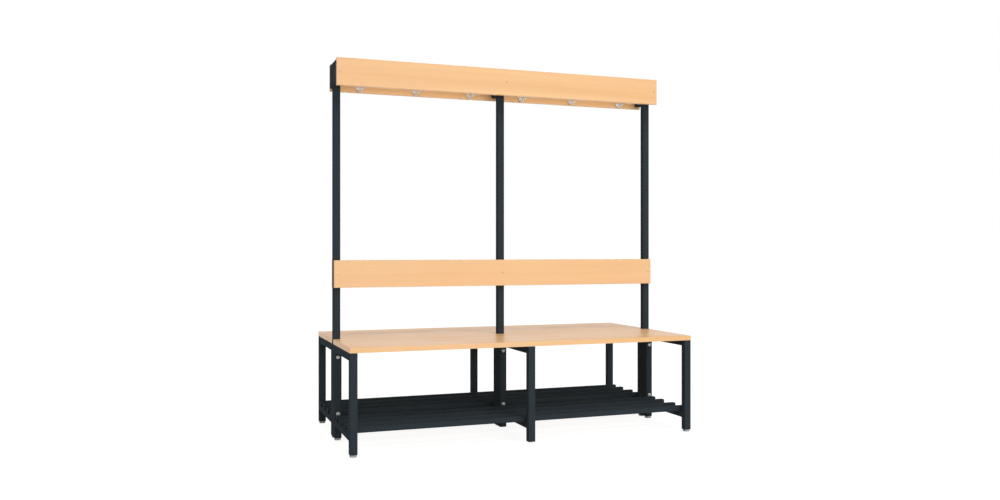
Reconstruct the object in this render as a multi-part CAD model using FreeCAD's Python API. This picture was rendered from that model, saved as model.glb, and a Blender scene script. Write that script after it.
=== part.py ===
import FreeCAD, Part
import math
import os
from FreeCAD import Placement, Rotation, Vector

os.makedirs("parts", exist_ok=True)

# Double-sided changing room bench: three supports in a row, seats, backrests and hook boards on both sides.
# Millimetres. X runs along the bench, the front is -Y, the floor is z = 0 and the origin is under the middle.

# Overall sizes
bench_length = 1500.0
bench_depth = 770.0
seat_height = 420.0
bench_height = 1591.0

# Square steel tube of the supports
tube = 30.0
tube_wall = 2.0
tube_corner = 1.5

# Steel angle under each seat, with its flat flange uppermost
seat_angle_height = 30.0
seat_angle_thickness = 3.0

# Boards
seat_thickness = 20.0
seat_edge_radius = 1.5
seat_joint = 1.0
notch_clearance = 0.5
board_thickness = 18.0
board_edge_radius = 1.5
board_end_inset = 1.5
backrest_width = 115.0
backrest_centre_above_seat = 274.2
hook_board_width = 115.0

# Head arm that carries the two hook boards on each post
arm_height = 98.0
arm_length = 146.0
arm_wall = 2.0
arm_below_board_top = 6.0
arm_plate_thickness = 4.0
arm_plate_clearance = 0.2

# Shoe rack
rack_rail_bottom = 60.0
rack_rail_height = 25.0
bar = 22.0
bar_wall = 1.5
bar_corner = 1.0
bar_inset = 4.0
bar_leg_gap = 14.0
bar_pitch = 80.0
bar_cap_length = 12.0
bar_cap_clearance = 0.2

# Levelling feet and the plastic inserts in the tube ends
foot_pad = 26.0
foot_pad_height = 10.0
foot_pad_corner = 4.0
foot_pad_bevel = 2.0
foot_seat_gap = 0.2
stud_diameter = 8.0
stud_length = 34.0
stud_clearance = 0.05
insert_length = 22.0
insert_clearance = 0.2

# Square-necked through bolts
bolt_diameter = 8.0
bolt_clearance = 0.25
bolt_head_diameter = 16.0
bolt_head_rim = 1.2
bolt_head_height = 4.0
bolt_head_crown = 8.0
bolt_neck_length = 5.0
bolt_tail = 1.5
nut_flats = 13.0
nut_height = 6.8
nut_clearance = 0.05
upper_bolt_below_seat = 52.0
lower_bolt_above_rail = 26.0

# Double coat hooks of sheet steel: a strip that bends up in front of itself and forks in two
hooks_per_board = 6
hook_thickness = 4.0
hook_strip_width = 14.0
hook_plate_height = 52.0
hook_plate_corner = 4.0
hook_above_board_edge = 1.0
hook_bend_radius = 15.0
prong_width = 10.0
prong_length = 48.0
prong_tip_corner = 2.5
prong_splay = 45.0
prong_fork_height = 1.0

# Places worked out from the sizes above
supports = {
    "left": -(bench_length - tube) / 2,
    "middle": 0.0,
    "right": (bench_length - tube) / 2,
}
end_supports = ["left", "right"]
angle_faces = {"left": -1, "middle": -1, "right": 1}
sides = {"front": -1, "rear": 1}
tube_bottom = foot_pad_height
seat_bottom = seat_height - seat_thickness
inner_leg_y = tube
outer_leg_y = (bench_depth - tube) / 2
rail_start_y = inner_leg_y + tube / 2
rail_end_y = outer_leg_y - tube / 2
half_centre_y = (rail_start_y + rail_end_y) / 2
rack_rail_top = rack_rail_bottom + rack_rail_height
arm_top = bench_height - arm_below_board_top
arm_bottom = arm_top - arm_height
hook_board_bottom = bench_height - hook_board_width
board_length = bench_length - 2 * board_end_inset
bar_far_offset = (rail_end_y - rail_start_y) / 2 - bar_leg_gap - bar / 2
bar_near_offset = bar_far_offset - bar_pitch
bar_offsets = [-bar_far_offset, -bar_near_offset, bar_near_offset, bar_far_offset]
hook_pitch = bench_length / hooks_per_board
hook_bend_outside = hook_bend_radius + hook_thickness / 2
backrest_centre_height = seat_height + backrest_centre_above_seat
legs = {"inner": inner_leg_y, "outer": outer_leg_y}

X_AXIS = Vector(1, 0, 0)
Y_AXIS = Vector(0, 1, 0)
Z_AXIS = Vector(0, 0, 1)
LIE_ALONG = {
    "x": Rotation(Y_AXIS, 90),
    "y": Rotation(X_AXIS, -90),
    "z": Rotation(),
}


def block(x, y, z, size_x, size_y, size_z):
    """A box centred on x and y, with its underside at z."""
    return Part.makeBox(size_x, size_y, size_z, Vector(x - size_x / 2, y - size_y / 2, z))


def rectangle(width, height):
    """A sharp rectangle about the origin in the XY plane."""
    corners = [
        Vector(-width / 2, -height / 2),
        Vector(width / 2, -height / 2),
        Vector(width / 2, height / 2),
        Vector(-width / 2, height / 2),
    ]
    return Part.makePolygon(corners + corners[:1])


def cut_rectangle(width, height, cut):
    """A rectangle about the origin with its four corners cut off at 45 degrees."""
    points = []
    for turn in range(4):
        across, along = (width, height) if turn % 2 == 0 else (height, width)
        spin = Rotation(Z_AXIS, 90 * turn)
        for reach in (cut - along / 2, along / 2 - cut):
            points.append(spin.multVec(Vector(across / 2, reach)))
    return Part.makePolygon(points + points[:1])


def hollow_section(width, height, wall, corner, length):
    """A rectangular tube along +Z from the origin, with softened corners outside and sharp ones inside."""
    outside = cut_rectangle(width, height, corner)
    inside = rectangle(width - 2 * wall, height - 2 * wall)
    face = Part.makeFace([outside, inside], "Part::FaceMakerBullseye")
    return face.extrude(Vector(0, 0, length))


def laid(shape, axis, start):
    """A shape built along +Z, turned to run along an axis from a start point."""
    placed = shape.copy()
    placed.Placement = Placement(start, LIE_ALONG[axis])
    return placed


def rod(axis, start, diameter, length):
    """A round bar along an axis."""
    return laid(Part.makeCylinder(diameter / 2, length), axis, start)


def drilled(shape, axis, places, diameter, length):
    """A shape with a straight hole at each place."""
    for place in places:
        shape = shape.cut(rod(axis, place, diameter, length))
    return shape


def punched(shape, x, heights, width):
    """A tube with a square hole through it from front to back at each height."""
    for z in heights:
        shape = shape.cut(block(x, 0, z - width / 2, width, cluster_depth, width))
    return shape


def softened(shape, radius, wanted):
    """A board with the chosen straight edges rounded."""
    edges = [edge for edge in shape.Edges if wanted(edge)]
    return shape.makeFillet(radius, edges)


def on_plane(edge, axis, value):
    """True where every end of an edge lies at one value of x, y or z."""
    return all(abs(getattr(v, axis) - value) < 1e-6 for v in edge.Vertexes)


def export(name, solids):
    """Writes one node, which may be a group of like solids."""
    shape = solids[0] if len(solids) == 1 else Part.makeCompound(solids)
    shape.exportStep(f"parts/{name}.step")


# Bolts that hold each pair of half frames to the post between them
cluster_front_y = -(inner_leg_y + tube / 2)
cluster_depth = -2 * cluster_front_y
bolt_hole = bolt_diameter + 2 * bolt_clearance
frame_bolt_heights = [rack_rail_top + lower_bolt_above_rail, seat_bottom - upper_bolt_below_seat]


def seat_angle(x, y, length, face):
    """An angle along Y under a seat, with its upright flange on the chosen face of the support."""
    thickness = seat_angle_thickness
    flat = block(x, y, seat_bottom - thickness, tube, length, thickness)
    upright_x = x + face * (tube - thickness) / 2
    upright = block(upright_x, y, seat_bottom - seat_angle_height, thickness, length, seat_angle_height)
    return flat.fuse(upright).removeSplitter()


def half_frame(x, side, face):
    """Outer leg, inner leg, seat angle and rack rail of one half of a support, butted for welding."""
    leg_length = seat_bottom - tube_bottom
    leg = hollow_section(tube, tube, tube_wall, tube_corner, leg_length)
    outer = laid(leg, "z", Vector(x, side * outer_leg_y, tube_bottom))
    inner = laid(leg, "z", Vector(x, side * inner_leg_y, tube_bottom))
    inner = punched(inner, x, frame_bolt_heights, bolt_hole)
    rail_length = rail_end_y - rail_start_y
    angle = seat_angle(x, side * half_centre_y, rail_length, face)
    rail = hollow_section(tube, rack_rail_height, tube_wall, tube_corner, rail_length)
    rail_y = rail_start_y if side > 0 else -rail_end_y
    rack_rail = laid(rail, "y", Vector(x, rail_y, rack_rail_bottom + rack_rail_height / 2))
    return [outer, inner, angle, rack_rail]


for place, x in supports.items():
    for side_name, side in sides.items():
        export(f"frame_{side_name}_{place}", half_frame(x, side, angle_faces[place]))

# Posts between the half frames, up to the head arms
for place, x in supports.items():
    post = hollow_section(tube, tube, tube_wall, tube_corner, arm_bottom - tube_bottom)
    post = laid(post, "z", Vector(x, 0, tube_bottom))
    export(f"post_{place}", [punched(post, x, frame_bolt_heights, bolt_hole)])

# Head arms, with a plate welded inside each end for the hook boards' bolts
arm_plates = []
for place, x in supports.items():
    arm = hollow_section(tube, arm_height, arm_wall, tube_corner, arm_length)
    export(f"head_arm_{place}", [laid(arm, "y", Vector(x, -arm_length / 2, arm_bottom + arm_height / 2))])
    plate_width = tube - 2 * arm_wall - 2 * arm_plate_clearance
    plate_height = arm_height - 2 * arm_wall - 2 * arm_plate_clearance
    plate_y = (arm_length - arm_plate_thickness) / 2
    plate_bottom = arm_bottom + arm_wall + arm_plate_clearance
    for side in sides.values():
        plate = block(x, side * plate_y, plate_bottom, plate_width, arm_plate_thickness, plate_height)
        arm_plates.append(plate)
export("head_arm_end_plates", arm_plates)

# Seat boards, notched round the posts and meeting along the middle of the bench
seat_inner_y = seat_joint / 2
seat_outer_y = bench_depth / 2
notch = tube + 2 * notch_clearance
for side_name, side in sides.items():
    seat_depth = seat_outer_y - seat_inner_y
    seat_y = side * (seat_inner_y + seat_outer_y) / 2
    seat = block(0, seat_y, seat_bottom, bench_length, seat_depth, seat_thickness)
    seat = softened(
        seat,
        seat_edge_radius,
        lambda e: on_plane(e, "Z", seat_height) and not on_plane(e, "Y", side * seat_inner_y),
    )
    for x in supports.values():
        seat = seat.cut(block(x, 0, seat_bottom, notch, notch, seat_thickness))
    export(f"seat_{side_name}", [seat])


def long_board(side, near_y, bottom, width):
    """A board along the bench, standing on edge, with its long outer edges rounded."""
    board = block(0, side * (near_y + board_thickness / 2), bottom, board_length, board_thickness, width)
    face_y = side * (near_y + board_thickness)
    return softened(board, board_edge_radius, lambda e: on_plane(e, "Y", face_y))


# Backrests on the posts and hook boards on the ends of the head arms
for side_name, side in sides.items():
    backrest_bottom = backrest_centre_height - backrest_width / 2
    export(f"backrest_{side_name}", [long_board(side, tube / 2, backrest_bottom, backrest_width)])
    export(f"hook_board_{side_name}", [long_board(side, arm_length / 2, hook_board_bottom, hook_board_width)])

# Shoe rack bars lying along the rack rails, with a plug in each end
bar_end_x = bench_length / 2 - bar_inset
bar_length = 2 * bar_end_x
cap_width = bar - 2 * bar_wall - 2 * bar_cap_clearance
bar_caps = []
for side_name, side in sides.items():
    for number, offset in enumerate(bar_offsets, 1):
        y = side * (half_centre_y + offset)
        tube_shape = hollow_section(bar, bar, bar_wall, bar_corner, bar_length)
        bar_shape = laid(tube_shape, "x", Vector(-bar_end_x, y, rack_rail_top + bar / 2))
        export(f"rack_bar_{side_name}_{number}", [bar_shape])
        for end in (-1, 1):
            cap_x = end * (bar_end_x - bar_cap_length / 2)
            cap_bottom = rack_rail_top + bar_wall + bar_cap_clearance
            bar_caps.append(block(cap_x, y, cap_bottom, bar_cap_length, cap_width, cap_width))
export("rack_bar_end_caps", bar_caps)

# Plastic inserts in the tube ends: threaded under the legs of the end supports, plain in the others
insert_width = tube - 2 * tube_wall - 2 * insert_clearance
stud_bore = stud_diameter + 2 * stud_clearance
foot_inserts = []
plain_plugs = []
for place, x in supports.items():
    plain_plugs.append(block(x, 0, tube_bottom, insert_width, insert_width, insert_length))
    for side in sides.values():
        for leg_y in legs.values():
            y = side * leg_y
            insert = block(x, y, tube_bottom, insert_width, insert_width, insert_length)
            if place in end_supports:
                bore = [Vector(x, y, tube_bottom)]
                foot_inserts.append(drilled(insert, "z", bore, stud_bore, insert_length))
            else:
                plain_plugs.append(insert)
export("foot_inserts", foot_inserts)
export("tube_plugs", plain_plugs)


def levelling_foot(x, y):
    """A square pad with cut corners and a bevelled foot, moulded on a stud."""
    pad_top = foot_pad_height - foot_seat_gap
    pad = block(x, y, 0, foot_pad, foot_pad, pad_top)
    upright = [e for e in pad.Edges if abs(e.tangentAt(e.FirstParameter).z) > 0.5]
    pad = pad.makeChamfer(foot_pad_corner, upright)
    pad = pad.makeChamfer(foot_pad_bevel, [e for e in pad.Edges if on_plane(e, "Z", 0)])
    return pad.fuse(rod("z", Vector(x, y, pad_top), stud_diameter, stud_length))


for place in end_supports:
    for side_name, side in sides.items():
        for leg_name, leg_y in legs.items():
            export(f"foot_{side_name}_{place}_{leg_name}", [levelling_foot(supports[place], side * leg_y)])


def through_bolt(x, z, front_y, grip):
    """A bolt along +Y with a low crowned head and a square neck in front, long enough for its nut."""
    shank = bolt_diameter / 2
    end = grip + nut_height + bolt_tail
    profile = [
        Vector(0, 0, -bolt_head_height),
        Vector(bolt_head_crown / 2, 0, -bolt_head_height),
        Vector(bolt_head_diameter / 2, 0, -bolt_head_rim),
        Vector(bolt_head_diameter / 2, 0, 0),
        Vector(shank, 0, 0),
        Vector(shank, 0, end),
        Vector(0, 0, end),
    ]
    turned = Part.Face(Part.makePolygon(profile + profile[:1])).revolve(Vector(), Z_AXIS, 360)
    turned = turned.fuse(block(0, 0, 0, bolt_diameter, bolt_diameter, bolt_neck_length))
    return laid(turned, "y", Vector(x, front_y, z))


def hex_nut(x, z, y):
    """A nut against a face at y, opening along +Y."""
    corner = nut_flats / math.sqrt(3)
    turns = [math.radians(60 * k) for k in range(7)]
    points = [Vector(corner * math.cos(turn), corner * math.sin(turn)) for turn in turns]
    body = Part.Face(Part.makePolygon(points)).extrude(Vector(0, 0, nut_height))
    body = drilled(body, "z", [Vector()], bolt_diameter + 2 * nut_clearance, nut_height)
    return laid(body, "y", Vector(x, y, z))


frame_bolts = []
frame_nuts = []
for x in supports.values():
    for z in frame_bolt_heights:
        frame_bolts.append(through_bolt(x, z, cluster_front_y, cluster_depth))
        frame_nuts.append(hex_nut(x, z, -cluster_front_y))
export("frame_bolts", frame_bolts)
export("frame_nuts", frame_nuts)


def sheet_bar(width, length, corner, depth):
    """A bar with cut corners, standing on the origin in the XZ plane and reaching along +Y."""
    face = Part.Face(cut_rectangle(width, length, corner))
    return laid(face.extrude(Vector(0, 0, depth)), "y", Vector(0, 0, length / 2))


def hook_strip():
    """The bent sheet of a hook before it is trimmed: up the board, round the bend and up again in front."""
    front = 2 * hook_bend_outside
    top = hook_plate_height + prong_length
    back_foot = Vector(0, 0, hook_bend_outside)
    front_foot = Vector(0, front, hook_bend_outside)
    throat_back = Vector(0, hook_thickness, hook_bend_outside)
    throat_front = Vector(0, front - hook_thickness, hook_bend_outside)
    lowest = Vector(0, hook_bend_outside, 0)
    throat_floor = Vector(0, hook_bend_outside, hook_thickness)
    back_top = Vector(0, 0, top)
    front_top = Vector(0, front, top)
    throat_back_top = Vector(0, throat_back.y, top)
    throat_front_top = Vector(0, throat_front.y, top)
    section = Part.Wire([
        Part.makeLine(back_top, back_foot),
        Part.Arc(back_foot, lowest, front_foot).toShape(),
        Part.makeLine(front_foot, front_top),
        Part.makeLine(front_top, throat_front_top),
        Part.makeLine(throat_front_top, throat_front),
        Part.Arc(throat_front, throat_floor, throat_back).toShape(),
        Part.makeLine(throat_back, throat_back_top),
        Part.makeLine(throat_back_top, back_top),
    ])
    strip = Part.Face(section).extrude(Vector(2 * prong_length, 0, 0))
    strip.translate(Vector(-prong_length, 0, 0))
    return strip


def coat_hook():
    """A hook with its back in the XZ plane, its lowest point at z = 0 and its prongs towards +Y."""
    strip = hook_strip()
    depth = hook_bend_outside
    plate = sheet_bar(hook_strip_width, 2 * hook_plate_height, hook_plate_corner, depth)
    plate.translate(Vector(0, 0, -hook_plate_height))
    fork = block(0, depth + depth / 2, 0, hook_strip_width, depth, hook_thickness)
    for splay in (-prong_splay, prong_splay):
        prong = sheet_bar(prong_width, prong_length, prong_tip_corner, depth)
        prong.translate(Vector(0, depth, prong_fork_height))
        prong.rotate(Vector(0, 0, prong_fork_height), Y_AXIS, splay)
        fork = fork.fuse(prong)
    return strip.common(plate).fuse(strip.common(fork)).removeSplitter()


# Hooks on the inner faces of the hook boards, facing the gap between them
hook_z = hook_board_bottom + hook_above_board_edge
first_hook_x = -hook_pitch * (hooks_per_board - 1) / 2
for side_name, side in sides.items():
    turn = 180 if side > 0 else 0
    group = []
    for number in range(hooks_per_board):
        hook = coat_hook()
        hook.Placement = Placement(
            Vector(first_hook_x + number * hook_pitch, side * arm_length / 2, hook_z), Rotation(Z_AXIS, turn)
        )
        group.append(hook)
    export(f"coat_hooks_{side_name}", group)
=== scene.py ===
import math

import bmesh
import bpy
from mathutils import Matrix, Vector


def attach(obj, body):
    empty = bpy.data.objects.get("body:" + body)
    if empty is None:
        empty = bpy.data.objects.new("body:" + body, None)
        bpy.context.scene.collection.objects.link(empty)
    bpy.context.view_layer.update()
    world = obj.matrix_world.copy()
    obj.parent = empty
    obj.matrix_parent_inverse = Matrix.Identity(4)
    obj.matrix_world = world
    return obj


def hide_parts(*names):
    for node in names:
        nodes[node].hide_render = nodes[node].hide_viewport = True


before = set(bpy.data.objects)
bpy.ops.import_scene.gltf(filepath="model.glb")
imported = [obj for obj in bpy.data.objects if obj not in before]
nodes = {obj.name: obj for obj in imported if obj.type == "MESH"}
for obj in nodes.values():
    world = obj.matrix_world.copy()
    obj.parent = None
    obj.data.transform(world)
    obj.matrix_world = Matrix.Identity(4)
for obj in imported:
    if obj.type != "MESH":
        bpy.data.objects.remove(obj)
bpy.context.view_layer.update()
scene = bpy.context.scene

# Shapes are worked out in millimetres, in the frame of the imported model, and scaled when a piece is made.
MM = 0.001

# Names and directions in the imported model
BENCH = "bench"
FOOTED_SUPPORTS = ("left", "right")
SIDES = {"front": -1, "rear": 1}
SEAT_ANGLE_FACES = {"left": -1, "middle": -1, "right": 1}

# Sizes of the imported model
BENCH_LENGTH = 1500.0
BENCH_DEPTH = 770.0
BENCH_HEIGHT = 1591.0
SEAT_HEIGHT = 420.0
SEAT_THICKNESS = 20.0
TUBE = 30.0
TUBE_WALL = 2.0
LEG_BOTTOM = 10.0
SEAT_ANGLE_HEIGHT = 30.0
SEAT_ANGLE_THICKNESS = 3.0
BOARD_THICKNESS = 18.0
BOARD_WIDTH = 115.0
BOARD_END_INSET = 1.5
BACKREST_MIDDLE_ABOVE_SEAT = 274.2
ARM_HEIGHT = 98.0
ARM_LENGTH = 146.0
ARM_BELOW_BOARD_TOP = 6.0
RACK_RAIL_BOTTOM = 60.0
RACK_RAIL_HEIGHT = 25.0
BAR = 22.0
BAR_WALL = 1.5
BAR_INSET = 4.0
BAR_LEG_GAP = 14.0
BAR_PITCH = 80.0
LOWER_BOLT_ABOVE_RAIL = 26.0
UPPER_BOLT_BELOW_SEAT = 52.0
HOOKS_PER_BOARD = 6
HOOK_ABOVE_BOARD_EDGE = 1.0

# Places worked out from those sizes
SUPPORT_X = (BENCH_LENGTH - TUBE) / 2
SUPPORTS = {"left": -SUPPORT_X, "middle": 0.0, "right": SUPPORT_X}
INNER_LEG_Y = TUBE
OUTER_LEG_Y = (BENCH_DEPTH - TUBE) / 2
LEGS = {"inner": INNER_LEG_Y, "outer": OUTER_LEG_Y}
SEAT_BOTTOM = SEAT_HEIGHT - SEAT_THICKNESS
RACK_RAIL_TOP = RACK_RAIL_BOTTOM + RACK_RAIL_HEIGHT
FRAME_BOLT_HEIGHTS = (RACK_RAIL_TOP + LOWER_BOLT_ABOVE_RAIL, SEAT_BOTTOM - UPPER_BOLT_BELOW_SEAT)
ARM_BOTTOM = BENCH_HEIGHT - ARM_BELOW_BOARD_TOP - ARM_HEIGHT
BOARD_LENGTH = BENCH_LENGTH - 2 * BOARD_END_INSET
BACKREST_OUTER_Y = TUBE / 2 + BOARD_THICKNESS
BACKREST_MIDDLE = SEAT_HEIGHT + BACKREST_MIDDLE_ABOVE_SEAT
HOOK_BOARD_INNER_Y = ARM_LENGTH / 2
HOOK_BOARD_OUTER_Y = HOOK_BOARD_INNER_Y + BOARD_THICKNESS
HOOK_BOARD_MIDDLE = BENCH_HEIGHT - BOARD_WIDTH / 2
HOOK_BOTTOM = BENCH_HEIGHT - BOARD_WIDTH + HOOK_ABOVE_BOARD_EDGE
HOOK_PITCH = BENCH_LENGTH / HOOKS_PER_BOARD
HOOK_PLACES_X = [HOOK_PITCH * (n - (HOOKS_PER_BOARD - 1) / 2) for n in range(HOOKS_PER_BOARD)]

# The faces with which the two legs of a half frame look at each other
INNER_FACE_Y = INNER_LEG_Y + TUBE / 2
OUTER_FACE_Y = OUTER_LEG_Y - TUBE / 2

# The bars of one rack, in two pairs about the middle of the rails
BAR_END_X = BENCH_LENGTH / 2 - BAR_INSET
RAIL_MIDDLE_Y = (INNER_FACE_Y + OUTER_FACE_Y) / 2
FAR_BAR = (OUTER_FACE_Y - INNER_FACE_Y) / 2 - BAR_LEG_GAP - BAR / 2
NEAR_BAR = FAR_BAR - BAR_PITCH
BAR_CENTRES_Y = [RAIL_MIDDLE_Y + offset for offset in (-FAR_BAR, -NEAR_BAR, NEAR_BAR, FAR_BAR)]

# Rounded corners of the tubes and bars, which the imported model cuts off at 45 degrees
TUBE_ROUND = 3.0
BAR_ROUND = 1.0
TUBE_LEAST_INNER_ROUND = 0.4


# Mesh helpers

# Edges between faces that turn by more degrees than this stay sharp.
SHARP_ANGLE = 32.0
# Points of a mesh that are closer than this, in metres, become one.
MERGE_DISTANCE = 1e-7
CORNER_STEPS = 5
# This radius stands for a point on the axis, so that each loop keeps its points apart.
LEAST_RADIUS = 0.02


class Shell:
    """Points and faces of one piece, gathered from closed shells."""

    def __init__(self):
        self.points = []
        self.faces = []

    def loft(self, loops, caps=True):
        """Faces between closed loops of equal length. With caps, both ends are closed."""
        count = len(loops[0])
        base = len(self.points)
        for loop in loops:
            self.points.extend(Vector(p) for p in loop)
        for row in range(len(loops) - 1):
            a = base + row * count
            b = a + count
            for i in range(count):
                j = (i + 1) % count
                self.faces.append((a + i, a + j, b + j, b + i))
        if caps:
            self.faces.append(tuple(base + i for i in reversed(range(count))))
            last = base + (len(loops) - 1) * count
            self.faces.append(tuple(last + i for i in range(count)))

    def pipe(self, outer, inner):
        """A hollow length between two outer loops and two inner loops, open at both ends."""
        self.loft([inner[0], outer[0], outer[1], inner[1], inner[0]], caps=False)


def merge_close_points(mesh):
    """Joins the seam where a pipe's last loop meets its first, and turns every face outwards."""
    work = bmesh.new()
    work.from_mesh(mesh)
    bmesh.ops.remove_doubles(work, verts=work.verts, dist=MERGE_DISTANCE)
    bmesh.ops.recalc_face_normals(work, faces=work.faces)
    work.to_mesh(mesh)
    work.free()
    mesh.update()


def piece(name, shell, material, body=BENCH, replaces=()):
    """Makes an object from a shell, with flat faces kept flat and rounded ones smooth."""
    mesh = bpy.data.meshes.new(name)
    mesh.from_pydata([p * MM for p in shell.points], [], shell.faces)
    mesh.validate()
    merge_close_points(mesh)
    mesh.shade_smooth()
    mesh.set_sharp_from_angle(angle=math.radians(SHARP_ANGLE))
    mesh.materials.append(material)
    made = bpy.data.objects.new(name, mesh)
    scene.collection.objects.link(made)
    weigh = made.modifiers.new("flat_faces", "WEIGHTED_NORMAL")
    weigh.keep_sharp = True
    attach(made, body)
    if replaces:
        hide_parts(*replaces)


def arc(centre, radius, first, last, steps=CORNER_STEPS):
    """Points of an arc between two angles in degrees."""
    points = []
    for k in range(steps + 1):
        angle = math.radians(first + (last - first) * k / steps)
        points.append((centre[0] + radius * math.cos(angle), centre[1] + radius * math.sin(angle)))
    return points


def rounded_rectangle(width, height, radius, steps=CORNER_STEPS):
    """Points of a rectangle with rounded corners about the origin, anticlockwise."""
    points = []
    for turn, (sx, sy) in enumerate(((1, 1), (-1, 1), (-1, -1), (1, -1))):
        centre = (sx * (width / 2 - radius), sy * (height / 2 - radius))
        points += arc(centre, radius, 90 * turn, 90 * turn + 90, steps)
    return points


def ring(radius, sides, hexagon=False):
    """Points of a circle, or of a hexagon whose flats are that far from its centre."""
    points = []
    for k in range(sides):
        angle = 2 * math.pi * k / sides
        reach = radius
        if hexagon:
            reach = radius / math.cos((angle + math.pi / 6) % (math.pi / 3) - math.pi / 6)
        points.append((reach * math.cos(angle), reach * math.sin(angle)))
    return points


# Each turns flat points so that their height runs along the axis it is named after.
AXES = {
    "x": Matrix(((0, 0, 1), (1, 0, 0), (0, 1, 0))),
    "-x": Matrix(((0, 0, -1), (0, 1, 0), (1, 0, 0))),
    "y": Matrix(((0, 1, 0), (0, 0, 1), (1, 0, 0))),
    "-y": Matrix(((1, 0, 0), (0, 0, -1), (0, 1, 0))),
    "z": Matrix.Identity(3),
    "-z": Matrix(((1, 0, 0), (0, -1, 0), (0, 0, -1))),
}


def lifted(flat_points, height, axis, origin):
    """Flat points raised along an axis from an origin."""
    turn = AXES[axis]
    return [turn @ Vector((u, v, height)) + Vector(origin) for u, v in flat_points]


def tube(shell, axis, start, length, across, up, wall, radius):
    """A rounded rectangular tube along an axis. across and up are its sizes before it is turned there."""
    inner_radius = max(radius - wall, TUBE_LEAST_INNER_ROUND)
    outer = rounded_rectangle(across, up, radius)
    inner = rounded_rectangle(across - 2 * wall, up - 2 * wall, inner_radius)
    shell.pipe(
        [lifted(outer, h, axis, start) for h in (0, length)],
        [lifted(inner, h, axis, start) for h in (0, length)],
    )


def turned(shell, profile, axis, origin, sides):
    """A turned piece from (radius, height) pairs. A third item True makes that loop a hexagon."""
    loops = []
    for entry in profile:
        hexagon = len(entry) > 2 and entry[2]
        loops.append(lifted(ring(max(entry[0], LEAST_RADIUS), sides, hexagon), entry[1], axis, origin))
    shell.loft(loops)


# Weld beads. A bead swells in ripples that bow backwards, thins out at its ends and is sunk in the metal.
BEAD_STEP = 0.8
BEAD_LEAST_STEPS = 6
BEAD_SECTION_STEPS = 5
BEAD_END_SIZE = 0.35
BEAD_TAPER_LENGTH = 3.0
BEAD_RIPPLE = 0.10
BEAD_RIPPLE_PITCH = 2.4
BEAD_WANDER = 0.05
BEAD_WANDER_RATE = 0.9
BEAD_LAG = 0.9
BEAD_SINK = 0.4
FILLET_LEG = 3.2
FILLET_CROWN = 0.72
SEAM_HALF_WIDTH = 3.0
SEAM_HEIGHT = 0.7


def bead(shell, start, end, left, crown, right, base):
    """A rippled weld along a line, with its section given by three vectors and a point sunk in the metal."""
    start, end = Vector(start), Vector(end)
    left, crown, right, base = (Vector(v) for v in (left, crown, right, base))
    length = (end - start).length
    along = (end - start).normalized()
    count = max(BEAD_LEAST_STEPS, int(length / BEAD_STEP))
    loops = []
    for i in range(count + 1):
        share = i / count
        distance = share * length
        from_end = min(share, 1 - share) * length
        taper = min(1.0, BEAD_END_SIZE + from_end / BEAD_TAPER_LENGTH)
        ripple = BEAD_RIPPLE * math.cos(2 * math.pi * distance / BEAD_RIPPLE_PITCH)
        wander = BEAD_WANDER * math.sin(BEAD_WANDER_RATE * distance + start.x)
        size = taper * (1.0 + ripple + wander)
        at = start + along * distance
        loop = []
        for k in range(BEAD_SECTION_STEPS + 1):
            t = k / BEAD_SECTION_STEPS
            bulge = left * (1 - t) ** 2 + crown * 2 * t * (1 - t) + right * t**2
            loop.append(at + bulge * size - along * BEAD_LAG * math.sin(math.pi * t) * taper)
        loop.append(at + base)
        loops.append(loop)
    shell.loft(loops)


def fillet_bead(shell, start, end, out_a, out_b, leg=FILLET_LEG):
    """A weld in the corner between two faces that look along out_a and out_b."""
    a, b = Vector(out_a), Vector(out_b)
    bead(shell, start, end, a * leg, (a + b) * leg * FILLET_CROWN, b * leg, (a + b) * -BEAD_SINK)


def seam_bead(shell, start, end, out):
    """A weld over a flush seam on a flat face that looks along out."""
    out = Vector(out)
    across = (Vector(end) - Vector(start)).normalized().cross(out)
    left = across * SEAM_HALF_WIDTH
    right = across * -SEAM_HALF_WIDTH
    bead(shell, start, end, left, out * 2 * SEAM_HEIGHT, right, out * -BEAD_SINK)


# Heads of bolts and screws
HEAD_BEVEL_WIDTH = 0.25
HEAD_BEVEL_HEIGHT = 0.3
SCREW_SIDES = 36
SCREW_DOME_STEPS = 9
SOCKET_RIM_RISE = 0.1
# Shares of a screw's height
SCREW_RIM = 0.25
SOCKET_DEPTH = 0.55
SOCKET_POINT_DEPTH = 0.7
# The socket's half width as a share of the screw's radius, and shares of that half width
SOCKET_HALF_WIDTH = 0.42
SOCKET_RIM = 1.28
SOCKET_DOME_END = 1.5


def domed(radius, rim, height, steps):
    """(radius, height) pairs of a low dome over a short rim."""
    rise = height - rim
    ball = (radius**2 + rise**2) / (2 * rise)
    pairs = [(radius - HEAD_BEVEL_WIDTH, 0.0), (radius, HEAD_BEVEL_HEIGHT), (radius, rim)]
    for k in range(1, steps + 1):
        r = radius * math.cos(math.pi / 2 * k / steps)
        pairs.append((r, rim + math.sqrt(ball**2 - r**2) - (ball - rise)))
    return pairs


def socket_screw(shell, axis, origin, radius, height):
    """A button head with a hexagon socket, standing on a face."""
    key = radius * SOCKET_HALF_WIDTH
    dome = domed(radius, height * SCREW_RIM, height, SCREW_DOME_STEPS)
    pairs = [p for p in dome if p[0] > key * SOCKET_DOME_END]
    top = pairs[-1][1]
    rim = top + SOCKET_RIM_RISE
    pairs += [
        (key * SOCKET_RIM, rim),
        (key, rim, True),
        (key, top - height * SOCKET_DEPTH, True),
        (0.0, top - height * SOCKET_POINT_DEPTH),
    ]
    turned(shell, pairs, axis, origin, SCREW_SIDES)


# Materials


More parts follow.
